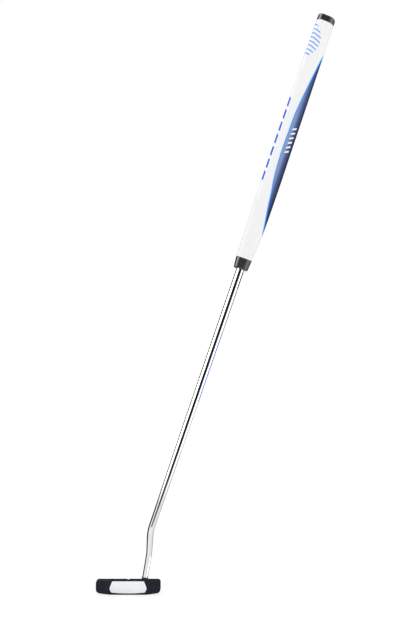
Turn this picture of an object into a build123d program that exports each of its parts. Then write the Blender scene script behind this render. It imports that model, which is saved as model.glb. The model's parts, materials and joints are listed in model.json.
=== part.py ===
# Blade putter: cast head with a two-layer face insert, double-bend tapered steel shaft,
# pistol grip and a counterweight in the butt. Millimetres, +Z up. The origin is the middle of
# the small flat on the sole, under the middle of the face. +X points to the heel and the
# golfer, -Y to the target.
import os
from math import acos, atan2, cos, radians, sin, tan

from build123d import *

# ---- head casting ----
head_half = 51.4            # half the length from toe to heel
top_height = 23.7           # topline above the ground
sole_radius = 290.0         # camber of the sole from toe to heel
sole_flat_half = 12.0       # half length of the flat that the putter rests on
sole_flat_width = 15.0      # the flat, front to back
top_corner = 5.0            # corner radii of the front outline
lower_corner = 7.0
end_edge = 3.0              # rounding of the face into the toe and heel ends
face_y = -13.6              # leading edge of the face
face_loft = 3.0             # degrees
leading_edge_height = 1.0
topline_thickness = 8.6
topline_edge = 0.8
side_corners = (1.0, topline_edge, topline_edge, 2.0, 2.5, 2.0, 0, 0)   # leading edge, topline, bumpers
flange_back_y = 15.5        # trailing edge of the rear flange
flange_height = 8.6         # floor of the cavity, at the blade
flange_drop = 1.6           # the cavity floor falls by this much to the back
trailing_edge_height = 2.6
bumper_height = 15.4        # toe and heel bumpers, at the blade
bumper_drop = 3.6
bumper_back_inset = 1.6     # the bumpers end this far in front of the trailing edge
cavity_half = 27.0          # half length of the cavity floor
cavity_flare = 4.0          # each side wall of the cavity leans out by this much
cavity_fillet = 3.0
blade_back_draft = 1.2
plan_taper_y = -3.0         # behind this the head narrows in plan
plan_taper = 7.0
plan_corner = 8.0
plan_blend = 20.0           # eases the straight end into the taper
plan_lead = 0.3             # the end rounding starts this far ahead of the leading edge
cut_over = 5.0              # cutting forms run this far past what they cut

# ---- white sight notch in the topline ----
notch_back_width = 4.9
notch_front_width = 1.0
notch_length = 5.0
notch_depth = 0.8
notch_fill = 0.7            # thickness of the paint
paint_gap = 0.02

# ---- face insert: striking layer, soft layer, adhesive sheet ----
insert_top = 22.1
insert_top_half = 25.2
insert_wide = 10.2          # height where the insert is widest
insert_wide_half = 29.9
insert_foot_half = 26.6
insert_rim = 3.4            # sole rim left under the insert
insert_corners = (1.8, 7.0, 2.6)    # top, wide and foot corner radii
insert_gap = 0.1
striking_layer = 2.8
soft_layer = 1.6
adhesive_layer = 0.2

# ---- sole weights ----
weight_inset = 15.4         # weight axis inside the toe or heel end
weight_y = 3.0
weight_radius = 6.6
weight_height = 8.0
weight_flange_radius = 7.6
weight_flange = 1.6
weight_recess = 0.35        # below the sole surface
weight_key = 5.0            # across the flats of the hex socket
weight_key_depth = 2.6
weight_chamfer = 0.4
thread_gap = 0.15
gasket_thickness = 0.8
gasket_gap = 0.1            # radial play of the gasket
pocket_floor_gap = 0.5

# ---- hosel boss and post ----
boss_radius = 5.0
boss_root_radius = 4.2
boss_top_height = 28.0
boss_cone_height = 1.2
boss_root_depth = 0.2
post_length = 20.0
post_gap = 0.1              # epoxy round the post

# ---- shaft ----
lie_angle = 71.0
shaft_forward = 9.5         # upper shaft ahead of the hosel
tip_lean = 9.87             # degrees towards the golfer at the hosel
tip_foot_x = 21.8           # where the hosel line would meet the ground
lower_bend_height = 63.8
upper_bend_length = 109.5   # along the upper shaft from the ground
lower_bend_radius = 36.0
upper_bend_radius = 55.0
tip_radius = 4.6
lower_bend_section = 4.8
upper_bend_section = 5.3
band_radius = 6.35          # parallel stretch below the grip, where a rack clip holds
band_length = 62.0          # the stretch of the band that a clip may hold
band_clear = 15.8           # kept free between the clip and the grip
butt_radius = 7.35
swell_lift = 6.0            # the shaft swells from band to butt inside the foot of the grip
swell_length = 6.0
taper_fullness = 0.01       # the long tapers stand this much proud of a straight line
shaft_wall = 0.95

# ---- grip ----
putter_length = 965.2       # along the upper shaft, from the ground
grip_length = 419.4
collar_length = 17.6
cap_length = 10.3
skin_thickness = 1.8
tape_thickness = 0.2
grip_gap = 0.05             # play of the grip's bore on the tape and shaft
collar_end_inset = 1.3
collar_round = 2.4
cap_round = 3.0
vent_radius = 1.6
# distance up the grip as a share of its skin, thumb side, back, half width, front and back radii
grip_stations = (
    (0.00, 12.9, 12.8, 12.7, 8.0, 12.0),
    (0.10, 13.6, 15.5, 13.1, 7.0, 11.4),
    (0.28, 14.8, 16.3, 14.0, 6.0, 10.4),
    (0.50, 15.1, 15.6, 14.5, 6.0, 10.9),
    (0.86, 14.8, 14.5, 14.5, 6.8, 12.6),
    (1.00, 14.5, 14.0, 14.2, 8.0, 13.2),
)

# ---- counterweight in the butt ----
slug_length = 48.0
slug_gap = 0.4
sleeve_gap = 0.05
sleeve_length = 14.0
washer_thickness = 1.2
screw_radius = 2.5
screw_grip = 18.0           # length of the screw in the slug
screw_head_radius = 4.25
screw_head_height = 5.0
screw_key = 4.0
screw_key_depth = 2.5
screw_gap = 0.1
screw_play = 1.0            # depth of the tapped hole past the screw
counterweight_inset = 25.0  # screw head below the end of the shaft

# ---- derived places ----
weight_x = head_half - weight_inset
sole_sag = sole_flat_half**2 / (2 * sole_radius)
sole_centre = sole_radius - sole_sag
loft_tan = tan(radians(face_loft))
topline_front_y = face_y + (top_height - leading_edge_height) * loft_tan
topline_back_y = topline_front_y + topline_thickness
hosel_y = (topline_front_y + topline_back_y) / 2
tip_direction = Vector(sin(radians(tip_lean)), 0, cos(radians(tip_lean)))
shaft_direction = Vector(cos(radians(lie_angle)), 0, sin(radians(lie_angle)))
shaft_foot = Vector(0, hosel_y - shaft_forward, 0)
boss_top = Vector(tip_foot_x + boss_top_height * tan(radians(tip_lean)), hosel_y, boss_top_height)
lower_bend = Vector(tip_foot_x + lower_bend_height * tan(radians(tip_lean)), hosel_y, lower_bend_height)
upper_bend = shaft_foot + shaft_direction * upper_bend_length
grip_start = putter_length - grip_length
band_start = grip_start - band_clear - band_length
skin_start = grip_start + collar_length
skin_end = putter_length - cap_length
swell_start = skin_start + swell_lift
swell_end = swell_start + swell_length


def sole_height(x):
    """Height of the cambered sole at a distance from the middle."""
    return sole_centre - (sole_radius**2 - x**2) ** 0.5


def along_shaft(length):
    """Plane square to the upper shaft, its x axis towards the thumb side of the grip."""
    thumb_side = Vector(-sin(radians(lie_angle)), 0, cos(radians(lie_angle)))
    return Plane(shaft_foot + shaft_direction * length, x_dir=thumb_side, z_dir=shaft_direction)


def turned(profile, plane):
    """Solid of revolution about a plane's normal. The profile lists radius and height."""
    outline = make_face(Plane.XZ * Polyline(*profile, close=True))
    return plane * revolve(outline, Axis.Z)


# ---------------------------------------------------------------- head

face_plane = Plane((0, face_y - leading_edge_height * loft_tan, 0), x_dir=(1, 0, 0),
                   z_dir=(0, -cos(radians(face_loft)), sin(radians(face_loft))))


def rounded(points, radii):
    """Closed outline whose corners have the given radii."""
    outline = make_face(Polyline(*points, close=True))
    for point, radius in zip(points, radii):
        if radius:
            corner = outline.vertices().sort_by_distance(Vector(*point))[0]
            outline = fillet(corner, radius)
    return outline


def front_outline():
    block = Rectangle(2 * head_half, top_height + sole_sag, align=(Align.CENTER, Align.MIN))
    block = fillet(block.vertices().group_by(Axis.Y)[-1], top_corner)
    sole_disc = Pos(0, sole_radius) * Circle(sole_radius)
    outline = block & sole_disc
    outline = fillet(outline.vertices().group_by(Axis.Y)[0], lower_corner)
    return Pos(0, -sole_sag) * outline


def side_outline():
    """Blade and bumpers seen from the toe, with the sole flat at height 0."""
    flat = sole_flat_width / 2
    points = [
        (face_y, leading_edge_height),
        (topline_front_y, top_height),
        (topline_back_y, top_height),
        (topline_back_y - blade_back_draft, bumper_height),
        (flange_back_y - bumper_back_inset, bumper_height - bumper_drop),
        (flange_back_y, trailing_edge_height),
        (flat, 0),
        (-flat, 0),
    ]
    return rounded(points, side_corners)


def plan_outline():
    front = face_y - plan_lead
    points = [
        (-head_half, front),
        (-head_half, plan_taper_y),
        (-head_half + plan_taper, flange_back_y),
        (head_half - plan_taper, flange_back_y),
        (head_half, plan_taper_y),
        (head_half, front),
    ]
    return rounded(points, (end_edge, plan_blend, plan_corner, plan_corner, plan_blend, end_edge))


def rear_cavity():
    """What the casting leaves out behind the blade, between the bumpers."""
    floor = make_face(Polyline(
        (-cavity_half - cavity_flare, top_height), (-cavity_half, flange_height - flange_drop),
        (cavity_half, flange_height - flange_drop), (cavity_half + cavity_flare, top_height),
        close=True))
    floor = fillet(floor.vertices().group_by(Axis.Y)[0], cavity_fillet)
    cut = Plane.XZ * extrude(floor, -(flange_back_y + 2 * cut_over))
    back = make_face(Polyline(
        (topline_back_y - blade_back_draft, flange_height),
        (topline_back_y, top_height + cut_over),
        (flange_back_y + cut_over, top_height + cut_over),
        (flange_back_y + cut_over, flange_height - flange_drop),
        close=True))
    back = fillet(back.vertices().group_by(Axis.X)[0], cavity_fillet)
    return cut & (Plane.YZ * extrude(back, 2 * head_half, both=True))


def insert_outline(gap=0.0):
    """Face insert in the face plane: curved sides and a foot that follows the sole."""
    half = insert_foot_half
    foot = insert_rim + half**2 / (2 * sole_radius)
    sides = Line((half, foot), (insert_wide_half, insert_wide)) + Line(
        (insert_wide_half, insert_wide), (insert_top_half, insert_top))
    top = Line((insert_top_half, insert_top), (-insert_top_half, insert_top))
    left = mirror(sides, about=Plane.YZ)
    bottom = ThreePointArc((-half, foot), (0, insert_rim), (half, foot))
    outline = make_face(sides.edges() + top.edges() + left.edges() + bottom.edges())
    places = ((insert_top_half, insert_top), (insert_wide_half, insert_wide), (half, foot))
    for (x, y), radius in zip(places, insert_corners):
        for side in (-1, 1):
            corner = outline.vertices().sort_by_distance(Vector(side * x, y))[0]
            outline = fillet(corner, radius)
    return offset(outline, gap) if gap else outline


def insert_sheet(depth, thickness, gap=0.0):
    """Layer of the insert whose back lies at a depth under the face."""
    return face_plane.offset(-depth) * extrude(insert_outline(gap), thickness)


def weight_plane(side):
    """Plane on the sole surface at a weight, its normal pointing out of the sole."""
    tilt = atan2(weight_x, sole_radius)
    return Plane((side * weight_x, weight_y, sole_height(weight_x)), x_dir=(0, 1, 0),
                 z_dir=(side * sin(tilt), 0, -cos(tilt)))


def weight_pocket(side):
    step = weight_recess + weight_flange + gasket_thickness
    floor = weight_recess + weight_height + pocket_floor_gap
    wide = weight_flange_radius + thread_gap
    narrow = weight_radius + thread_gap
    return turned([(0, cut_over), (wide, cut_over), (wide, -step), (narrow, -step), (narrow, -floor),
                   (0, -floor)], weight_plane(side))


def sight_notch(depth, gap=0.0):
    """Wedge on the topline, widest at the rear edge."""
    front_y = topline_back_y - notch_length
    front = notch_front_width / 2 - gap
    back = notch_back_width / 2 - gap
    plan = make_face(Polyline((-front, front_y + gap), (-back, topline_back_y), (back, topline_back_y),
                              (front, front_y + gap), close=True))
    return Pos(0, 0, top_height - depth) * extrude(plan, notch_depth + cut_over)


def hosel():
    """Boss on the topline with the post that the shaft slips over."""
    post = tip_radius - shaft_wall - post_gap
    cone_top = -(boss_top_height - top_height)
    cone_foot = cone_top - boss_cone_height
    return turned([
        (0, cone_foot - boss_root_depth), (boss_root_radius, cone_foot - boss_root_depth),
        (boss_root_radius, cone_foot), (boss_radius, cone_top), (boss_radius, 0), (post, 0),
        (post, post_length), (0, post_length),
    ], Plane(boss_top, z_dir=tip_direction))


def head_body():
    depth = flange_back_y - face_y + 2 * cut_over
    body = Plane.XZ.offset(-flange_back_y - cut_over) * extrude(front_outline(), depth)
    body &= Plane.YZ * extrude(side_outline(), head_half + cut_over, both=True)
    body &= Pos(0, 0, -cut_over) * extrude(plan_outline(), top_height + 2 * cut_over)
    body -= rear_cavity()
    body -= insert_sheet(striking_layer + soft_layer + adhesive_layer, 2 * cut_over, insert_gap)
    for side in (-1, 1):
        body -= weight_pocket(side)
    body -= sight_notch(notch_depth)
    return body + hosel()


def sight_fill():
    return sight_notch(notch_depth, paint_gap) & Box(
        2 * head_half, 2 * (flange_back_y - topline_edge), 2 * (top_height - notch_depth + notch_fill))


def face_insert():
    return insert_sheet(striking_layer, striking_layer)


def insert_soft_layer():
    return insert_sheet(striking_layer + soft_layer, soft_layer)


def insert_adhesive():
    return insert_sheet(striking_layer + soft_layer + adhesive_layer, adhesive_layer)


def sole_weight(side):
    top = -(weight_recess + weight_height)
    flange_back = -(weight_recess + weight_flange)
    face = -weight_recess
    body = turned([
        (0, top), (weight_radius, top), (weight_radius, flange_back), (weight_flange_radius, flange_back),
        (weight_flange_radius, face - weight_chamfer), (weight_flange_radius - weight_chamfer, face),
        (0, face),
    ], weight_plane(side))
    key = RegularPolygon(weight_key / 2, 6, major_radius=False)
    return body - weight_plane(side) * (Pos(0, 0, face) * extrude(key, -weight_key_depth))


def weight_gasket(side):
    """Flat rubber ring under the flange of a sole weight."""
    near = -(weight_recess + weight_flange)
    far = near - gasket_thickness
    inner = weight_radius + gasket_gap
    outer = weight_flange_radius
    return turned([(inner, far), (outer, far), (outer, near), (inner, near)], weight_plane(side))


# ---------------------------------------------------------------- shaft

def bend(corner, before, after, radius):
    """Tangent arc at a corner of the shaft's centre line, and its two ends."""
    reach = radius * tan(radians(before.get_angle(after)) / 2)
    start = corner - before * reach
    end = corner + after * reach
    return start, end, TangentArc(start, end, tangent=before)


def tapered_run(start, end, first_radius, last_radius):
    """Straight stretch of the shaft between two radii, its side a hair full."""
    direction = end - start
    length = direction.length
    plane = Plane(start, z_dir=direction)
    middle = (first_radius + last_radius) / 2 + taper_fullness
    side = Spline((first_radius, 0), (middle, length / 2), (last_radius, length))
    ends = Polyline((last_radius, length), (0, length), (0, 0), (first_radius, 0))
    return revolve(plane * Plane.XZ * make_face(side.edges() + ends.edges()), Axis(start, direction))


def butt_form(gap, start):
    """The shaft from a length below the swell to its end, grown by a gap."""
    narrow = band_radius + gap
    wide = butt_radius + gap
    return turned([(0, start), (narrow, start), (narrow, swell_start), (wide, swell_end), (wide, skin_end),
                   (0, skin_end)], along_shaft(0))


def shaft_core(inset=0.0):
    """The shaft's outside, or its bore when inset by the wall."""
    middle = (upper_bend - lower_bend).normalized()
    low_start, low_end, low_arc = bend(lower_bend, tip_direction, middle, lower_bend_radius)
    up_start, up_end, up_arc = bend(upper_bend, middle, shaft_direction, upper_bend_radius)
    low_radius = lower_bend_section - inset
    up_radius = upper_bend_section - inset
    core = tapered_run(boss_top, low_start, tip_radius - inset, low_radius)
    core += sweep(Plane(low_start, z_dir=tip_direction) * Circle(low_radius), low_arc)
    core += tapered_run(low_end, up_start, low_radius, up_radius)
    core += sweep(Plane(up_start, z_dir=middle) * Circle(up_radius), up_arc)
    core += tapered_run(up_end, along_shaft(band_start).origin, up_radius, band_radius - inset)
    return core + butt_form(-inset, band_start)


def shaft():
    return shaft_core() - shaft_core(shaft_wall)


# ---------------------------------------------------------------- grip

def grip_section(station, inset=0.0):
    """Flat thumb side, round corners and back: the outline round three circles."""
    _, front, back, half, corner, heel = station
    corner_x, corner_y = front - corner, half - corner
    heel_x = heel - back
    corner -= inset
    heel -= inset
    across = Vector(corner_x - heel_x, corner_y)
    swing = atan2(across.Y, across.X) + acos((heel - corner) / across.length)
    normal = Vector(cos(swing), sin(swing))
    high = Vector(corner_x, corner_y) + normal * corner
    heel_high = Vector(heel_x, 0) + normal * heel
    half_turn = Vector(cos(swing / 2), sin(swing / 2))
    bulge = Vector(corner_x, corner_y) + half_turn * corner

    def low(point):
        return Vector(point.X, -point.Y)

    flat = Vector(corner_x + corner, corner_y)
    edges = [
        Line(low(flat), flat),
        ThreePointArc(flat, bulge, high),
        Line(high, heel_high),
        ThreePointArc(heel_high, (heel_x - heel, 0), low(heel_high)),
        Line(low(heel_high), low(high)),
        ThreePointArc(low(high), low(bulge), low(flat)),
    ]
    return make_face(Wire([edge.edge() for edge in edges]))


def grip_form(inset=0.0):
    """The pistol shape of the skin, or what lies under it when inset."""
    span = skin_end - skin_start
    sections = [along_shaft(skin_start + station[0] * span) * grip_section(station, inset)
                for station in grip_stations]
    return loft(sections, ruled=True)


def grip_skin():
    return grip_form() - grip_form(skin_thickness)


def grip_core():
    return grip_form(skin_thickness) - butt_form(tape_thickness + grip_gap, skin_start)


def grip_tape():
    return butt_form(tape_thickness, skin_start) - butt_form(0, skin_start)


def rounded_end(station, edge, towards, size):
    """Sections from an edge of the grip to its end, drawn in as a round of that size."""
    steps = (0, 90)
    return [along_shaft(edge + towards * size * sin(radians(step))) *
            grip_section(station, size * (1 - cos(radians(step)))) for step in steps]


def grip_collar():
    station = grip_stations[0]
    drawn_in = station[:1] + tuple(size - collar_end_inset for size in station[1:])
    foot = rounded_end(drawn_in, grip_start + collar_round, -1, collar_round)
    top = along_shaft(skin_start) * grip_section(station)
    ring = loft(foot[::-1] + [top], ruled=True)
    return ring - turned([(0, grip_start), (band_radius + grip_gap, grip_start),
                          (band_radius + grip_gap, skin_start), (0, skin_start)], along_shaft(0))


def butt_cap():
    station = grip_stations[-1]
    foot = along_shaft(skin_end) * grip_section(station)
    cap = loft([foot] + rounded_end(station, putter_length - cap_round, 1, cap_round), ruled=True)
    vent = along_shaft(skin_end) * Cylinder(vent_radius, 3 * cap_length)
    return cap - vent


# ---------------------------------------------------------------- counterweight

screw_seat = skin_end - counterweight_inset
sleeve_top = screw_seat - washer_thickness
slug_top = sleeve_top - sleeve_length
slug_foot = slug_top - slug_length
shaft_bore = butt_radius - shaft_wall
screw_end = slug_top - screw_grip
screw_foot = screw_end - screw_play


def tube_along(start, end, outer):
    """Ring round the counterweight's screw."""
    inner = screw_radius + screw_gap
    return turned([(inner, start), (outer, start), (outer, end), (inner, end)], along_shaft(0))


def counterweight():
    outer = shaft_bore - slug_gap
    slug = turned([(0, slug_foot), (outer, slug_foot), (outer, slug_top), (0, slug_top)], along_shaft(0))
    hole = screw_radius + screw_gap
    return slug - turned([(0, screw_foot), (hole, screw_foot), (hole, slug_top + cut_over),
                          (0, slug_top + cut_over)], along_shaft(0))


def counterweight_sleeve():
    return tube_along(slug_top, sleeve_top, shaft_bore - sleeve_gap)


def counterweight_washer():
    return tube_along(sleeve_top, screw_seat, shaft_bore - slug_gap)


def counterweight_screw():
    head_top = screw_seat + screw_head_height
    screw = turned([(0, screw_end), (screw_radius, screw_end), (screw_radius, screw_seat),
                    (screw_head_radius, screw_seat), (screw_head_radius, head_top), (0, head_top)],
                   along_shaft(0))
    key = RegularPolygon(screw_key / 2, 6, major_radius=False)
    return screw - along_shaft(head_top) * extrude(key, -screw_key_depth)


# ---------------------------------------------------------------- export

pieces = {
    "head_body": head_body(),
    "sight_fill": sight_fill(),
    "face_insert": face_insert(),
    "insert_soft_layer": insert_soft_layer(),
    "insert_adhesive": insert_adhesive(),
    "toe_weight": sole_weight(-1),
    "heel_weight": sole_weight(1),
    "toe_weight_gasket": weight_gasket(-1),
    "heel_weight_gasket": weight_gasket(1),
    "shaft": shaft(),
    "grip_tape": grip_tape(),
    "grip_core": grip_core(),
    "grip_skin": grip_skin(),
    "grip_collar": grip_collar(),
    "butt_cap": butt_cap(),
    "counterweight": counterweight(),
    "counterweight_sleeve": counterweight_sleeve(),
    "counterweight_washer": counterweight_washer(),
    "counterweight_screw": counterweight_screw(),
}

os.makedirs("parts", exist_ok=True)
for name, solid in pieces.items():
    solid.label = name
    export_step(solid, f"parts/{name}.step")

rack_clip = along_shaft(band_start + band_length / 2)
vent = along_shaft((skin_end + putter_length) / 2)
print("rack clip centre", rack_clip.origin, "axis", rack_clip.z_dir)
print("vent centre", vent.origin, "length", cap_length)
for side in (-1, 1):
    print("weight seat", weight_plane(side).origin, "axis", weight_plane(side).z_dir)
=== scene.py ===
import json
import math

import bmesh
import bpy
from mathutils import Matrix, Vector


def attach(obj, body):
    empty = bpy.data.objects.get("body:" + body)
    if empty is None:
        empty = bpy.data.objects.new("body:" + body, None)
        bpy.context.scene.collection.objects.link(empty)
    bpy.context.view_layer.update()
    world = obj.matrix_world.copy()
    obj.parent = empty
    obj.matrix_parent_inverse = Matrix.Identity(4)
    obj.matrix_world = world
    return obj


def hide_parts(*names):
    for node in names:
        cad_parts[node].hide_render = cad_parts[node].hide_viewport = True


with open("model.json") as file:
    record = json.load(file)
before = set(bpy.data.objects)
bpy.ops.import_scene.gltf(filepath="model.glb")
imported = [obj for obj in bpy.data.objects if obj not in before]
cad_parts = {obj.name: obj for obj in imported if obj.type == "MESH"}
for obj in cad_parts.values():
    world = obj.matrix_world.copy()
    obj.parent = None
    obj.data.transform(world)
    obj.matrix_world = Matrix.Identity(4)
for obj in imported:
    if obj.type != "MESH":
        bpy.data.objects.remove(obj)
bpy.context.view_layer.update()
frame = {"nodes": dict(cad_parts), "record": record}        # nodes and the record of the imported putter
nodes = frame["nodes"]
mounts = {mount["name"]: mount for mount in frame["record"]["mounts"]}
mm = 0.001

# the line of the upper shaft, which the grip and the shaft band share
band = mounts["rack_clip_band"]
shaftAxis = Vector(band["axis"]).normalized()
shaftFoot = Vector(band["pos_m"]) - shaftAxis * (band["pos_m"][2] / shaftAxis.z)
thumbSide = Vector((-shaftAxis.z, 0, shaftAxis.x))      # the flat of the grip faces this way
nearSide = Vector((0, -1, 0))
sideways = -thumbSide


def onShaft(thumb, near, along):
    # a place by its offsets in mm from the shaft's line and its distance from the ground
    return shaftFoot + (shaftAxis * along + thumbSide * thumb + nearSide * near) * mm


def linear(hexColour):
    parts = [int(hexColour[i:i + 2], 16) / 255 for i in (1, 3, 5)]
    return tuple(c / 12.92 if c <= 0.04045 else ((c + 0.055) / 1.055) ** 2.4 for c in parts) + (1.0,)


def grey(value):
    return (value, value, value, 1)


# node helpers
def addNode(tree, kind, inputs=None, **settings):
    node = tree.nodes.new(kind)
    for name, value in settings.items():
        setattr(node, name, value)
    for socket, value in (inputs or {}).items():
        if isinstance(value, bpy.types.NodeSocket):
            tree.links.new(value, node.inputs[socket])
        else:
            node.inputs[socket].default_value = value
    return node


def maths(tree, operation, *values):
    return addNode(tree, "ShaderNodeMath", dict(enumerate(values)), operation=operation).outputs[0]


def dotWith(tree, vector, direction):
    return addNode(tree, "ShaderNodeVectorMath", {0: vector, 1: direction},
                   operation="DOT_PRODUCT").outputs["Value"]


def mixColour(tree, factor, first, second):
    return addNode(tree, "ShaderNodeMix", {0: factor, 6: first, 7: second}, data_type="RGBA").outputs[2]


def mapRange(tree, value, low, high, toLow=0.0, toHigh=1.0):
    return addNode(tree, "ShaderNodeMapRange", {
        "Value": value, "From Min": low, "From Max": high,
        "To Min": toLow, "To Max": toHigh}).outputs["Result"]


def between(tree, value, low, high, soft):
    # 1 between two values, with soft edges
    rise = mapRange(tree, value, low - soft / 2, low + soft / 2)
    fall = mapRange(tree, value, high - soft / 2, high + soft / 2, 1.0, 0.0)
    return maths(tree, "MULTIPLY", rise, fall)


def colourRamp(tree, factor, stops):
    node = addNode(tree, "ShaderNodeValToRGB", {"Fac": factor})
    elements = node.color_ramp.elements
    elements.remove(elements[-1])
    for i, (place, colour) in enumerate(stops):
        element = elements[0] if i == 0 else elements.new(place)
        element.position = place
        element.color = linear(colour) if isinstance(colour, str) else colour
    return node.outputs["Color"]


def newMaterial(name, shaderValues=None):
    material = bpy.data.materials.new(name)
    material.use_nodes = True
    tree = material.node_tree
    shader = tree.nodes["Principled BSDF"]
    for socket, value in (shaderValues or {}).items():
        shader.inputs[socket].default_value = value
    return material, tree, shader


def objectNoise(tree, sizeInMm, detail=3.0, roughness=0.5, stretch=(1, 1, 1)):
    # a noise whose grains are about the given size on the object
    place = addNode(tree, "ShaderNodeTexCoord").outputs["Object"]
    mapping = addNode(tree, "ShaderNodeMapping", {"Vector": place, "Scale": stretch})
    return addNode(tree, "ShaderNodeTexNoise", {
        "Vector": mapping.outputs["Vector"], "Scale": 1 / (sizeInMm * mm),
        "Detail": detail, "Roughness": roughness}).outputs["Fac"]


grainFrom, grainTo = 0.3, 0.7       # the stretch of a noise that most of its grains lie in


def finishSurface(tree, shader, grain, colours, roughness, bump, bumpMm):
    # the grain varies colour and roughness a little and raises the surface
    colour = colourRamp(tree, grain, [(grainFrom, colours[0]), (grainTo, colours[1])])
    gloss = mapRange(tree, grain, grainFrom, grainTo, *roughness)
    relief = addNode(tree, "ShaderNodeBump", {"Height": grain, "Strength": bump, "Distance": bumpMm * mm})
    tree.links.new(colour, shader.inputs["Base Color"])
    tree.links.new(gloss, shader.inputs["Roughness"])
    tree.links.new(relief.outputs["Normal"], shader.inputs["Normal"])
    return colour


camera = {"lensMm": 45.62, "sensorMm": 36, "place": (0.126605, -1.265, 0.448783)}


def makeCamera():
    data = bpy.data.cameras.new("camera")
    data.lens = camera["lensMm"]
    data.sensor_width = camera["sensorMm"]
    eye = bpy.data.objects.new("camera", data)
    eye.location = camera["place"]
    eye.rotation_euler = (math.radians(90), 0, 0)
    bpy.context.scene.collection.objects.link(eye)
    bpy.context.scene.camera = eye
    bpy.context.scene.view_settings.view_transform = "Standard"


makeCamera()
print("camera ready")

# a white room whose mirror image holds dark screens, a dark flag and two bright panels; each stop is
# a number of degrees round the shaft from the near side, toe side negative, and its brightness
studio = {
    "roomLight": 1.1,
    "upperScreens": (
        (-180, 0.02), (-102, 0.02), (-94, 1), (-88, 1), (-82, 8), (-62, 8), (-52, 1),
        (58, 1), (64, 3), (80, 3), (88, 1), (114, 0.8), (130, 0.06), (180, 0.02)),
    "lowerScreens": (
        (-180, 1), (-151, 1), (-145, 0.02), (-76, 0.02), (-60, 1),
        (114, 0.8), (130, 0.06), (145, 0.06), (151, 1)),
    "flag": ((-34, 1), (-27, 0.006), (33, 0.006), (40, 1)),
    "lowerTop": -12,                    # slope in degrees under which the lower screens take over
    "flagEnd": -17, "flagSlant": 8.5,   # slope at which the flag ends, and how far its end slants
    "edge": 0.04,                       # half the soft edge of both, in radians
    "floorHalf": 1.6,                   # in metres
    "floorShadow": 0.22,                # share of the real shadow in the paper that is seen
    "paper": "#F2F2F2", "paperGlow": 1.06,
}


def makeWorld():
    world = bpy.data.worlds.new("studio")
    bpy.context.scene.world = world
    world.use_nodes = True
    tree = world.node_tree
    tree.nodes.clear()
    look = addNode(tree, "ShaderNodeTexCoord").outputs["Generated"]
    turn = maths(tree, "ARCTAN2", dotWith(tree, look, sideways), dotWith(tree, look, nearSide))
    turn = maths(tree, "MULTIPLY_ADD", turn, 1 / (2 * math.pi), 0.5)
    slope = maths(tree, "ARCSINE", dotWith(tree, look, shaftAxis))

    def screens(name):
        return colourRamp(tree, turn, [(degrees / 360 + 0.5, grey(light)) for degrees, light in studio[name]])

    def above(height, degrees):
        middle = math.radians(degrees)
        return mapRange(tree, height, middle - studio["edge"], middle + studio["edge"])

    slant = maths(tree, "MULTIPLY_ADD",
                  dotWith(tree, look, sideways), -math.radians(studio["flagSlant"]), slope)
    walls = mixColour(tree, above(slope, studio["lowerTop"]),
                      screens("lowerScreens"), screens("upperScreens"))
    hung = mixColour(tree, above(slant, studio["flagEnd"]), grey(1), screens("flag"))
    mirrored = addNode(tree, "ShaderNodeVectorMath", {0: walls, 1: hung}, operation="MULTIPLY").outputs[0]
    rays = addNode(tree, "ShaderNodeLightPath").outputs
    room = addNode(tree, "ShaderNodeBackground", {"Color": grey(1), "Strength": studio["roomLight"]})
    mirror = addNode(tree, "ShaderNodeBackground", {"Color": mirrored})
    plain = addNode(tree, "ShaderNodeBackground", {"Color": grey(1), "Strength": 1.0})
    lit = addNode(tree, "ShaderNodeMixShader", {
        "Fac": rays["Is Glossy Ray"], 1: room.outputs[0], 2: mirror.outputs[0]})
    seen = maths(tree, "MAXIMUM", rays["Is Camera Ray"], rays["Is Transmission Ray"])
    shown = addNode(tree, "ShaderNodeMixShader", {"Fac": seen, 1: lit.outputs[0], 2: plain.outputs[0]})
    addNode(tree, "ShaderNodeOutputWorld", {"Surface": shown.outputs[0]})


def whitePaperSweep():
    # a paper sweep that keeps faint shadows, and is clear to mirrors and from below
    material = bpy.data.materials.new("whitePaperSweep")
    material.use_nodes = True
    tree = material.node_tree
    tree.nodes.clear()
    rays = addNode(tree, "ShaderNodeLightPath").outputs
    paper = addNode(tree, "ShaderNodeBsdfDiffuse", {"Color": linear(studio["paper"])})
    glow = addNode(tree, "ShaderNodeEmission", {"Color": grey(1), "Strength": studio["paperGlow"]})
    soft = addNode(tree, "ShaderNodeMixShader", {
        "Fac": studio["floorShadow"], 1: glow.outputs[0], 2: paper.outputs[0]})
    seen = addNode(tree, "ShaderNodeMixShader", {
        "Fac": rays["Is Camera Ray"], 1: paper.outputs[0], 2: soft.outputs[0]})
    clear = addNode(tree, "ShaderNodeBsdfTransparent")
    under = addNode(tree, "ShaderNodeNewGeometry").outputs["Backfacing"]
    through = maths(tree, "MAXIMUM", rays["Is Glossy Ray"], under)
    shown = addNode(tree, "ShaderNodeMixShader", {"Fac": through, 1: seen.outputs[0], 2: clear.outputs[0]})
    addNode(tree, "ShaderNodeOutputMaterial", {"Surface": shown.outputs[0]})
    return material


def makeFloor():
    half = studio["floorHalf"]
    corners = [(-half, -half, 0), (half, -half, 0), (half, half, 0), (-half, half, 0)]
    mesh = bpy.data.meshes.new("floor")
    mesh.from_pydata(corners, [], [(0, 1, 2, 3)])
    floor = bpy.data.objects.new("floor", mesh)
    bpy.context.scene.collection.objects.link(floor)
    floor.data.materials.append(whitePaperSweep())


makeWorld()
makeFloor()
print("studio ready")


# how pieces are made and put in the scene
def newPiece(name, mesh, material):
    piece = bpy.data.objects.new(name, mesh)
    bpy.context.scene.collection.objects.link(piece)
    mesh.materials.clear()
    mesh.materials.append(material)
    return piece


def setPiece(piece, node, body="putter"):
    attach(piece, body)
    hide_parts(node)


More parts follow.
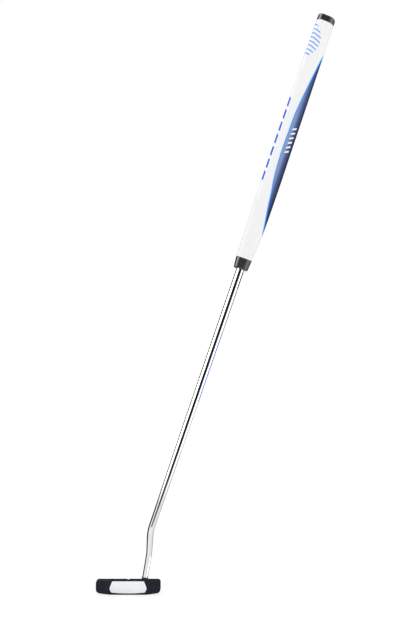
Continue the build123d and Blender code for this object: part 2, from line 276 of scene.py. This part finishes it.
def bakeModifiers(piece):
    graph = bpy.context.evaluated_depsgraph_get()
    mesh = bpy.data.meshes.new_from_object(piece.evaluated_get(graph), depsgraph=graph)
    piece.modifiers.clear()
    piece.data = mesh


smoothUnder = 40        # degrees: edges that turn more than this stay sharp


def smoothShape(mesh, degrees=smoothUnder):
    mesh.shade_smooth()
    mesh.set_sharp_from_angle(angle=math.radians(degrees))


def closeMesh(mesh):
    # points that meet are joined, and every face looks outwards
    form = bmesh.new()
    form.from_mesh(mesh)
    bmesh.ops.remove_doubles(form, verts=form.verts, dist=1e-7)
    bmesh.ops.recalc_face_normals(form, faces=form.faces)
    form.to_mesh(mesh)
    form.free()


def shellFromRings(name, rings):
    # rings of equal count joined in turn, and the last to the first
    count = len(rings[0])
    points = [point for ring in rings for point in ring]
    faces = []
    for i in range(len(rings)):
        here, after = i * count, (i + 1) % len(rings) * count
        for k in range(count):
            right = (k + 1) % count
            faces.append((here + k, here + right, after + right, after + k))
    mesh = bpy.data.meshes.new(name)
    mesh.from_pydata(points, [], faces)
    closeMesh(mesh)
    smoothShape(mesh)
    return mesh


# the shaft: lengths in mm, from the ground along the upper shaft where a name says no more
shaftSize = {
    "bossTop": (26.672, -8.110, 28.0), "lowerCorner": (32.901, -8.110, 63.8), "upperCornerAlong": 109.5,
    "lowerBend": 36.0, "upperBend": 55.0,           # radii of the two bends
    "tip": 4.6, "lowerRadius": 4.8, "upperRadius": 5.3, "bandRadius": 6.35, "buttRadius": 7.35,
    "bandStart": 468.0, "swellStart": 569.4, "swellEnd": 575.4, "end": 954.9, "wall": 0.95,
    "sides": 96, "step": 5.0, "bendSteps": 16,
}


def tangentArc(corner, before, after, radius):
    steps = shaftSize["bendSteps"]
    angle = before.angle(after)
    start = corner - before * radius * math.tan(angle / 2)
    inward = (after - before * before.dot(after)).normalized()
    centre = start + inward * radius
    arc = []
    for i in range(steps + 1):
        turned = angle * i / steps
        arc.append(centre - inward * radius * math.cos(turned) + before * radius * math.sin(turned))
    return arc


def shaftRoute():
    # points in mm with the radius at each
    size = shaftSize
    start = Vector(size["bossTop"])
    lowerCorner = Vector(size["lowerCorner"])
    upperCorner = (shaftFoot + shaftAxis * size["upperCornerAlong"] * mm) / mm
    tipLine = (lowerCorner - start).normalized()
    middle = (upperCorner - lowerCorner).normalized()
    lowArc = tangentArc(lowerCorner, tipLine, middle, size["lowerBend"])
    highArc = tangentArc(upperCorner, middle, shaftAxis, size["upperBend"])
    route = []

    def run(first, last, radiusFirst, radiusLast):
        steps = max(2, round((last - first).length / size["step"]))
        for i in range(steps):
            share = i / steps
            route.append((first.lerp(last, share), radiusFirst + (radiusLast - radiusFirst) * share))

    def along(length):
        return shaftFoot / mm + shaftAxis * length

    run(start, lowArc[0], size["tip"], size["lowerRadius"])
    route.extend((point, size["lowerRadius"]) for point in lowArc[:-1])
    run(lowArc[-1], highArc[0], size["lowerRadius"], size["upperRadius"])
    route.extend((point, size["upperRadius"]) for point in highArc[:-1])
    run(highArc[-1], along(size["bandStart"]), size["upperRadius"], size["bandRadius"])
    run(along(size["bandStart"]), along(size["swellStart"]), size["bandRadius"], size["bandRadius"])
    run(along(size["swellStart"]), along(size["swellEnd"]), size["bandRadius"], size["buttRadius"])
    run(along(size["swellEnd"]), along(size["end"]), size["buttRadius"], size["buttRadius"])
    route.append((along(size["end"]), size["buttRadius"]))
    return route


def tubeTree():
    # a tube that follows the edges it is given, as thick as their radius attribute says
    tree = bpy.data.node_groups.new("drawnTube", "GeometryNodeTree")
    tree.interface.new_socket("Route", in_out="INPUT", socket_type="NodeSocketGeometry")
    tree.interface.new_socket("Sides", in_out="INPUT", socket_type="NodeSocketInt")
    tree.interface.new_socket("Finish", in_out="INPUT", socket_type="NodeSocketMaterial")
    tree.interface.new_socket("Tube", in_out="OUTPUT", socket_type="NodeSocketGeometry")
    given = addNode(tree, "NodeGroupInput").outputs
    radius = addNode(tree, "GeometryNodeInputNamedAttribute", {"Name": "tubeRadius"}, data_type="FLOAT")
    line = addNode(tree, "GeometryNodeMeshToCurve", {0: given["Route"]})
    circle = addNode(tree, "GeometryNodeCurvePrimitiveCircle", {"Resolution": given["Sides"], "Radius": 1.0})
    tube = addNode(tree, "GeometryNodeCurveToMesh", {
        "Curve": line.outputs[0], "Profile Curve": circle.outputs[0], "Scale": radius.outputs[0]})
    smooth = addNode(tree, "GeometryNodeSetShadeSmooth", {0: tube.outputs[0]})
    real = addNode(tree, "GeometryNodeRealizeInstances", {0: smooth.outputs[0]})
    coated = addNode(tree, "GeometryNodeSetMaterial", {
        "Geometry": real.outputs[0], "Material": given["Finish"]})
    addNode(tree, "NodeGroupOutput", {0: coated.outputs[0]})
    return tree


def setInputs(modifier, values):
    for item in modifier.node_group.interface.items_tree:
        if item.in_out == "INPUT" and item.name in values:
            modifier[item.identifier] = values[item.name]


def makeShaft(material):
    route = shaftRoute()
    mesh = bpy.data.meshes.new("shaftTube")
    mesh.from_pydata([point * mm for point, _ in route], [(i, i + 1) for i in range(len(route) - 1)], [])
    radii = mesh.attributes.new("tubeRadius", "FLOAT", "POINT")
    radii.data.foreach_set("value", [radius * mm for _, radius in route])
    shaft = newPiece("shaftTube", mesh, material)
    tube = shaft.modifiers.new("drawnTube", "NODES")
    tube.node_group = tubeTree()
    setInputs(tube, {"Sides": shaftSize["sides"], "Finish": material})
    wall = shaft.modifiers.new("wall", "SOLIDIFY")
    wall.thickness = shaftSize["wall"] * mm
    wall.offset = -1
    bakeModifiers(shaft)
    closeMesh(shaft.data)
    smoothShape(shaft.data)
    setPiece(shaft, "shaft")


def shaftPlace(tree):
    # offsets in mm towards the thumb side and the near side, and the distance from the ground
    place = addNode(tree, "ShaderNodeTexCoord").outputs["Object"]
    fromFoot = addNode(tree, "ShaderNodeVectorMath", {0: place, 1: shaftFoot},
                       operation="SUBTRACT").outputs[0]
    return [maths(tree, "MULTIPLY", dotWith(tree, fromFoot, way), 1 / mm)
            for way in (thumbSide, nearSide, shaftAxis)]


chrome = {
    "colours": ("#E9EAEC", "#F6F6F7"), "roughness": (0.04, 0.09),
    "wispMm": 3.0, "wispStretch": (1, 1, 0.05),
    "printRoughness": 0.25,                         # what print adds to the roughness
    "printSoftMm": 1.0, "printSoftDegrees": 3.0,    # soft edges of the print
    # plain stripes on the golfer's side: mm from the ground and degrees round the shaft
    "stripes": (
        {"along": (515, 545), "turn": (-150, -42), "colour": "#18181A"},
        {"along": (453, 513), "turn": (-150, -48), "colour": "#7F8894"},
        {"along": (328, 443), "turn": (-150, -46), "colour": "#2F74E6"},
        {"along": (245, 326), "turn": (-150, -60), "colour": "#A9C2E6"},
    ),
}


def chromePlating():
    # bright nickel-chrome plating on drawn steel tube: a clean mirror with faint draw lines
    material, tree, shader = newMaterial("brightChromePlatedSteel", {"Metallic": 1.0})
    thumb, near, along = shaftPlace(tree)
    turn = maths(tree, "MULTIPLY", maths(tree, "ARCTAN2", thumb, near), 180 / math.pi)
    wisps = objectNoise(tree, chrome["wispMm"], stretch=chrome["wispStretch"])
    colour = colourRamp(tree, wisps, [(grainFrom, chrome["colours"][0]), (grainTo, chrome["colours"][1])])
    printed = 0.0
    for stripe in chrome["stripes"]:
        mask = maths(tree, "MULTIPLY", between(tree, along, *stripe["along"], chrome["printSoftMm"]),
                     between(tree, turn, *stripe["turn"], chrome["printSoftDegrees"]))
        colour = mixColour(tree, mask, colour, linear(stripe["colour"]))
        printed = maths(tree, "MAXIMUM", printed, mask)
    gloss = mapRange(tree, wisps, 0.0, 1.0, *chrome["roughness"])
    dull = maths(tree, "MULTIPLY_ADD", printed, chrome["printRoughness"], gloss)
    tree.links.new(dull, shader.inputs["Roughness"])
    tree.links.new(maths(tree, "SUBTRACT", 1.0, printed), shader.inputs["Metallic"])
    tree.links.new(colour, shader.inputs["Base Color"])
    return material


makeShaft(chromePlating())
print("shaft ready")

# the grip: lengths in mm, places along it from the ground
gripSize = {
    "start": 545.8, "skinStart": 563.4, "skinEnd": 954.9, "end": 965.2,
    "around": 120,      # points round a section
    "seam": 0.3,        # the eased edge of the rubber where it meets the skin
    # share of the skin's length, thumb side, back, half width, corner radius, heel radius
    "stations": (
        (0.00, 12.9, 12.8, 12.7, 8.0, 12.0),
        (0.10, 13.6, 15.5, 13.1, 7.0, 11.4),
        (0.28, 14.8, 16.3, 14.0, 6.0, 10.4),
        (0.50, 15.1, 15.6, 14.5, 6.0, 10.9),
        (0.86, 14.8, 14.5, 14.5, 6.8, 12.6),
        (1.00, 14.5, 14.0, 14.2, 8.0, 13.2),
    ),
}


def gripShape(share):
    # a smooth line through the stations
    stations = gripSize["stations"]
    share = min(max(share, 0.0), 1.0)
    i = max(k for k in range(len(stations) - 1) if stations[k][0] <= share)
    here, after = stations[i], stations[i + 1]
    span = after[0] - here[0]
    t = (share - here[0]) / span
    before = stations[i - 1] if i > 0 else here
    beyond = stations[i + 2] if i + 2 < len(stations) else after
    shape = []
    for k in range(1, len(here)):
        slopeIn = (after[k] - before[k]) / (after[0] - before[0]) * span
        slopeOut = (beyond[k] - here[k]) / (beyond[0] - here[0]) * span
        shape.append((2 * t**3 - 3 * t**2 + 1) * here[k] + (t**3 - 2 * t**2 + t) * slopeIn
                     + (3 * t**2 - 2 * t**3) * after[k] + (t**3 - t**2) * slopeOut)
    return shape


def gripOutline(shape, inset=0.0):
    # points round a section at equal steps, from the middle of the thumb flat: half of the flat,
    # a corner arc, a straight side and the heel arc, then their mirror image
    front, back, halfWidth, corner, heel = shape
    cornerX, cornerY, heelX = front - corner, halfWidth - corner, heel - back
    corner, heel = corner - inset, heel - inset
    gap = math.hypot(cornerX - heelX, cornerY)
    swing = math.atan2(cornerY, cornerX - heelX) + math.acos((heel - corner) / gap)
    side = math.sqrt(gap**2 - (heel - corner)**2)
    lengths = (cornerY, corner * swing, side, heel * (math.pi - swing))
    total = sum(lengths)
    steps = gripSize["around"] // 2

    def pointAt(distance):
        if distance <= lengths[0]:
            return cornerX + corner, distance
        distance -= lengths[0]
        if distance <= lengths[1]:
            angle = distance / corner
            return cornerX + corner * math.cos(angle), cornerY + corner * math.sin(angle)
        distance -= lengths[1]
        if distance <= lengths[2]:
            share = distance / lengths[2]
            startX = cornerX + corner * math.cos(swing)
            startY = cornerY + corner * math.sin(swing)
            endX, endY = heelX + heel * math.cos(swing), heel * math.sin(swing)
            return startX + (endX - startX) * share, startY + (endY - startY) * share
        angle = swing + (distance - lengths[2]) / heel
        return heelX + heel * math.cos(angle), heel * math.sin(angle)

    upper = [pointAt(total * i / steps) for i in range(steps + 1)]
    return upper + [(x, -y) for x, y in upper[-2:0:-1]]


def roundOutline(radius):
    count = gripSize["around"]
    return [(radius * math.cos(2 * math.pi * i / count), radius * math.sin(2 * math.pi * i / count))
            for i in range(count)]


def ring(outline, along):
    return [onShaft(x, y, along) for x, y in outline]


def roundedEnd(shape, edge, towards, size, steps):
    # rings from the end of a form back to its full outline, over a quarter round
    rings = []
    for i in range(steps + 1):
        angle = math.radians(90 * i / steps)
        inset = size * (1 - math.sin(angle))
        rings.append(ring(gripOutline(shape, inset), edge + towards * size * (1 - math.cos(angle))))
    return rings


skinSize = {"wall": 1.8, "rim": 0.5, "rimSteps": 3, "rings": 120, "innerRings": 30}


def makeGripSkin(material):
    start, end = gripSize["skinStart"], gripSize["skinEnd"]
    rim, count, innerCount = skinSize["rim"], skinSize["rings"], skinSize["innerRings"]
    span = end - start
    rings = roundedEnd(gripShape(0), start, 1, rim, skinSize["rimSteps"])
    for i in range(1, count):
        share = (rim + (span - 2 * rim) * i / count) / span
        rings.append(ring(gripOutline(gripShape(share)), start + share * span))
    rings += reversed(roundedEnd(gripShape(1), end, -1, rim, skinSize["rimSteps"]))
    for i in range(innerCount + 1):
        share = 1 - i / innerCount
        rings.append(ring(gripOutline(gripShape(share), skinSize["wall"]), start + share * span))
    setPiece(newPiece("gripSkin", shellFromRings("gripSkin", rings), material), "grip_skin")


collarSize = {"endInset": 1.3, "round": 2.4, "roundSteps": 8, "steps": 12, "bore": 6.4, "boreEdge": 0.6}


def makeCollar(material):
    start, seam = gripSize["start"], gripSize["skinStart"]
    bore, boreEdge, steps = collarSize["bore"], collarSize["boreEdge"], collarSize["steps"]
    shape = gripShape(0)
    drawnIn = [value - collarSize["endInset"] for value in shape]
    low, top = start + collarSize["round"], seam - gripSize["seam"]
    rings = roundedEnd(drawnIn, start, 1, collarSize["round"], collarSize["roundSteps"])
    for i in range(1, steps + 1):
        share = i / steps
        flared = [a + (b - a) * share for a, b in zip(drawnIn, shape)]
        rings.append(ring(gripOutline(flared), low + (top - low) * share))
    rings.append(ring(gripOutline(shape, gripSize["seam"]), seam))
    rings.append(ring(roundOutline(bore), seam))
    rings.append(ring(roundOutline(bore), start + boreEdge))
    rings.append(ring(roundOutline(bore + boreEdge), start))
    setPiece(newPiece("gripCollar", shellFromRings("gripCollar", rings), material), "grip_collar")


capSize = {
    "round": 3.0, "roundSteps": 10, "steps": 6, "ventRadius": 1.6,
    # how far each ring of the vent's mouth stands out from the hole and lies under the cap's top
    "ventMouth": ((0.5, 0.0), (0.15, 0.15), (0.0, 0.5)),
}


def makeButtCap(material):
    start, end, steps = gripSize["skinEnd"], gripSize["end"], capSize["steps"]
    shape = gripShape(1)
    low, top = start + gripSize["seam"], end - capSize["round"]
    rings = [ring(gripOutline(shape, gripSize["seam"]), start)]
    for i in range(steps):
        rings.append(ring(gripOutline(shape), low + (top - low) * i / steps))
    rings += reversed(roundedEnd(shape, end, -1, capSize["round"], capSize["roundSteps"]))
    for out, under in capSize["ventMouth"]:
        rings.append(ring(roundOutline(capSize["ventRadius"] + out), end - under))
    rings.append(ring(roundOutline(capSize["ventRadius"]), start))
    setPiece(newPiece("buttCap", shellFromRings("buttCap", rings), material), "butt_cap")


panel = {
    # distance from the ground in mm, and where the panel's edge lies towards the thumb side
    "edge": ((600, -17.5), (609, -14.2), (623, -12.2), (649, -8.3), (674, -5.5), (699, -1.9), (724, -0.2),
             (750, 0.4), (775, 0.0), (800, -0.5), (825, -2.7), (850, -5.6), (876, -8.9), (901, -12.6),
             (907, -14.2), (915, -17.5)),
    "along": (600, 915), "across": (-20, 5),        # the stretch that the edge's curve covers
    "soft": 0.3,
    # navy print from the back of the grip towards the thumb side, darkened to painted shade at the back and
    # paled to a painted sheen towards the thumb side, and the azure rim from the edge inwards
    "navySheenAndShadeAcross": (-16.0, 0.0),
    "navySheenAndShade": ((0.03, "#000D39"), (0.12, "#0E1D42"), (0.22, "#21345F"), (0.31, "#2D4272"),
             (0.44, "#455A88"), (0.53, "#67709B"), (0.65, "#7C8CB2"), (0.9, "#8FA0C4")),
    "azureWidth": 2.5, "azureFade": (1.2, 2.6),
    "azure": ((0.0, "#5AB0FF"), (0.4, "#41A0FE"), (0.75, "#2C7CF0"), (1.0, "#2A5FC8")),
}


gripMarks = {
    # rows of plain bars: where they lie in mm, their pitch, thickness, slant and colour
    "panelBars": {"along": (736, 781), "across": (-11.5, -5.5), "pitch": 7.5, "bar": 2.8, "slant": 0.55,
                  "colour": "#F0F2F6"},
    "dashes": {"along": (694, 836), "across": (2.0, 13.5), "pitch": 20.3, "bar": 14.5, "slant": 0.5,
               "colour": "#2C5FD6", "thumb": (12.4, 17.0), "thumbSoft": 0.2},
    "ladder": {"along": (892, 946), "across": (-4.0, 17.0), "pitch": 6.75, "bar": 2.2, "slant": -0.35,
               "colour": "#6FA2EE", "lowest": -2.0, "swell": 13.0, "swellSoft": 0.4},
    "lead": 0.4, "soft": 0.3,       # bare stretch before each bar, and the bars' soft edges
}


def barRow(tree, across, along, row):
    # slanted bars in a row along the grip
    soft, lead = gripMarks["soft"], gripMarks["lead"]
    low, high = row["along"]
    sheared = maths(tree, "MULTIPLY_ADD", across, row["slant"], along)
    place = maths(tree, "DIVIDE", maths(tree, "SUBTRACT", sheared, low), row["pitch"])
    phase = maths(tree, "MULTIPLY", maths(tree, "FRACT", place), row["pitch"])
    bars = between(tree, phase, lead, lead + row["bar"], soft)
    window = maths(tree, "MULTIPLY", between(tree, sheared, low, high, soft),
                   between(tree, across, *row["across"], soft))
    return maths(tree, "MULTIPLY", bars, window)


def panelInside(tree, thumb, along):
    # how many mm inside the panel's edge a place lies
    (start, end), (low, high) = panel["along"], panel["across"]
    edge = addNode(tree, "ShaderNodeFloatCurve", {"Value": mapRange(tree, along, start, end)})
    points = edge.mapping.curves[0].points
    places = [((length - start) / (end - start), (value - low) / (high - low))
              for length, value in panel["edge"]]
    points[0].location, points[-1].location = places[0], places[-1]
    for place in places[1:-1]:
        points.new(*place)
    edge.mapping.update()
    border = maths(tree, "MULTIPLY_ADD", edge.outputs[0], high - low, low)
    return maths(tree, "SUBTRACT", border, thumb)


def panelPrintSheenAndShade(tree, thumb, inside):
    # navy print, darkened to painted shade at the back and paled to a painted sheen towards the thumb side,
    # with an azure rim
    navySheenAndShade = colourRamp(tree, mapRange(tree, thumb, *panel["navySheenAndShadeAcross"]), panel["navySheenAndShade"])
    azure = colourRamp(tree, maths(tree, "MULTIPLY", inside, 1 / panel["azureWidth"]), panel["azure"])
    return mixColour(tree, mapRange(tree, inside, *panel["azureFade"], 1.0, 0.0), navySheenAndShade, azure)


def ladderMask(tree, thumb, along):
    # bars that are longest in the middle of their row
    ladder = gripMarks["ladder"]
    start, end = ladder["along"]
    soft = ladder["swellSoft"]
    offset = maths(tree, "MULTIPLY_ADD", along, 2 / (end - start), -(start + end) / (end - start))
    lowest = maths(tree, "MULTIPLY_ADD", maths(tree, "MULTIPLY", offset, offset),
                   ladder["swell"], ladder["lowest"])
    reach = mapRange(tree, maths(tree, "SUBTRACT", thumb, lowest), -soft / 2, soft / 2)
    return maths(tree, "MULTIPLY", barRow(tree, thumb, along, ladder), reach)


def polyurethaneSkin():
    # smooth polyurethane film over the felt backing, printed in white, azure and navy, the navy with painted
    # shade at the back and a painted sheen towards the thumb side
    material, tree, shader = newMaterial("printedPolyurethaneWithPaintedSheen", {"Specular IOR Level": 0.2})
    thumb, near, along = shaftPlace(tree)
    grain = objectNoise(tree, 0.9)
    white = finishSurface(tree, shader, grain, ("#EBEBEC", "#F0F0F1"), (0.42, 0.5), 0.12, 0.05)
    inside = panelInside(tree, thumb, along)
    onPanel = mapRange(tree, inside, -panel["soft"] / 2, panel["soft"] / 2)
    bars, dashes, ladder = gripMarks["panelBars"], gripMarks["dashes"], gripMarks["ladder"]
    # the panel's colour: navy print with painted shade at the back and a painted sheen towards the thumb
    # side, an azure rim and white bars
    printed = panelPrintSheenAndShade(tree, thumb, inside)
    printed = mixColour(tree, barRow(tree, thumb, along, bars), printed, linear(bars["colour"]))
    colour = mixColour(tree, onPanel, white, printed)
    onFlat = between(tree, thumb, *dashes["thumb"], dashes["thumbSoft"])
    dashMask = maths(tree, "MULTIPLY", barRow(tree, near, along, dashes), onFlat)
    colour = mixColour(tree, dashMask, colour, linear(dashes["colour"]))
    colour = mixColour(tree, ladderMask(tree, thumb, along), colour, linear(ladder["colour"]))
    tree.links.new(colour, shader.inputs["Base Color"])
    return material


def mouldedRubber():
    # moulded black rubber: slightly grained, with a soft sheen on the rounds
    material, tree, shader = newMaterial("mouldedBlackRubber", {"Specular IOR Level": 0.8})
    grain = objectNoise(tree, 0.8, detail=4)
    finishSurface(tree, shader, grain, ("#232526", "#303234"), (0.24, 0.34), 0.2, 0.06)
    return material


makeGripSkin(polyurethaneSkin())
rubber = mouldedRubber()
makeCollar(rubber)
makeButtCap(rubber)
print("grip ready")


# the head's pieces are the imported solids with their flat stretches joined, and casting and insert
# have their edges rounded
headSize = {
    "castingEdge": 0.15, "insertEdge": 0.1, "edgeSteps": 2,     # widths in mm of the rounded edges
    "sharpOver": 32, "flatUnder": 0.3,                          # degrees
}


def mergedCopy(node, name, material, body="putter", edgeMm=0.0):
    mesh = nodes[node].data.copy()
    mesh.name = name
    form = bmesh.new()
    form.from_mesh(mesh)
    bmesh.ops.remove_doubles(form, verts=form.verts, dist=1e-6)
    bmesh.ops.dissolve_limit(form, angle_limit=math.radians(headSize["flatUnder"]),
                             verts=form.verts, edges=form.edges)
    form.to_mesh(mesh)
    form.free()
    piece = newPiece(name, mesh, material)
    smoothShape(piece.data, headSize["sharpOver"])
    if edgeMm:
        edges = piece.modifiers.new("edges", "BEVEL")
        edges.width = edgeMm * mm
        edges.segments = headSize["edgeSteps"]
        edges.limit_method = "ANGLE"
        edges.angle_limit = math.radians(headSize["sharpOver"])
        edges.harden_normals = True
        bakeModifiers(piece)
        smoothShape(piece.data, headSize["sharpOver"])
    setPiece(piece, node, body)


def headEnamel():
    # cast stainless steel, bead blasted and sprayed with satin enamel: dark blue-grey with a fine grain
    material, tree, shader = newMaterial("satinEnamelOnCastSteel", {"Specular IOR Level": 0.15})
    grain = objectNoise(tree, 0.9, detail=5, roughness=0.6)
    finishSurface(tree, shader, grain, ("#151A21", "#252A33"), (0.35, 0.5), 0.3, 0.06)
    return material


def urethaneInsert():
    # cast white urethane, flat and faintly satin
    material, tree, shader = newMaterial("castWhiteUrethane")
    finishSurface(tree, shader, objectNoise(tree, 1.2), ("#EDF1F2", "#F2F5F6"), (0.4, 0.48), 0.1, 0.03)
    return material


def sightPaint():
    # white enamel flooded into the notch
    material, tree, shader = newMaterial("whiteSightPaint")
    finishSurface(tree, shader, objectNoise(tree, 0.5), ("#F2F2F2", "#F7F7F7"), (0.3, 0.4), 0.1, 0.02)
    return material


def turnedSteel():
    # stainless steel turned on a lathe, with a dull gleam
    material, tree, shader = newMaterial("turnedStainlessSteel", {"Metallic": 1.0})
    grain = objectNoise(tree, 0.4, detail=4)
    finishSurface(tree, shader, grain, ("#A9ABAE", "#C6C8CA"), (0.22, 0.36), 0.2, 0.02)
    return material


def hiddenFinish(name, colours, roughness, grainMm, bumpMm, metallic=0.0):
    # a plain finish for a piece that is seldom seen
    material, tree, shader = newMaterial(name, {"Metallic": metallic})
    finishSurface(tree, shader, objectNoise(tree, grainMm), colours, roughness, 0.3, bumpMm)
    return material


mergedCopy("head_body", "headCasting", headEnamel(), edgeMm=headSize["castingEdge"])
mergedCopy("face_insert", "faceInsert", urethaneInsert(), edgeMm=headSize["insertEdge"])
steel = turnedSteel()
for end in ("toe", "heel"):
    mergedCopy(f"{end}_weight", f"{end}Weight", steel, f"{end}_plug")
print("head ready")

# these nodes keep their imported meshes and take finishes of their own
keptNodes = {
    "sight_fill": sightPaint(),
    # cast softer than the striking layer, then ground flat
    "insert_soft_layer": hiddenFinish("softUrethane", ("#C9C8C2", "#D6D5CF"), (0.55, 0.65), 0.8, 0.05),
    # acrylic film, die cut to the pocket
    "insert_adhesive": hiddenFinish("acrylicAdhesiveSheet", ("#C8C0A4", "#D5CDB2"), (0.3, 0.5), 1.5, 0.02),
    "toe_weight_gasket": rubber,
    "heel_weight_gasket": rubber,
    # crepe paper with adhesive on both sides
    "grip_tape": hiddenFinish("doubleSidedGripTape", ("#D8CFAF", "#E2DAC0"), (0.6, 0.75), 0.6, 0.05),
    # foamed and moulded round the bore
    "grip_core": hiddenFinish("closedCellFoam", ("#BDBEC4", "#CBCCD1"), (0.8, 0.95), 0.7, 0.2),
    # pressed and sintered tungsten powder
    "counterweight": hiddenFinish(
        "sinteredTungstenAlloy", ("#6E6F72", "#84858A"), (0.35, 0.5), 0.5, 0.03, 1.0),
    # injection moulded
    "counterweight_sleeve": hiddenFinish("mouldedNylon", ("#26272A", "#313236"), (0.4, 0.55), 0.8, 0.03),
    # stamped steel, barrel plated with zinc
    "counterweight_washer": hiddenFinish(
        "zincPlatedWasher", ("#B4B7BA", "#CBCDCF"), (0.25, 0.4), 0.6, 0.02, 1.0),
    # cold headed steel, blackened in a bath
    "counterweight_screw": hiddenFinish(
        "blackOxideScrew", ("#2A2A2C", "#3A3A3D"), (0.3, 0.45), 0.4, 0.02, 1.0),
}
for node, material in keptNodes.items():
    for materialSlot in nodes[node].material_slots:
        materialSlot.material = material
print("inner pieces ready")
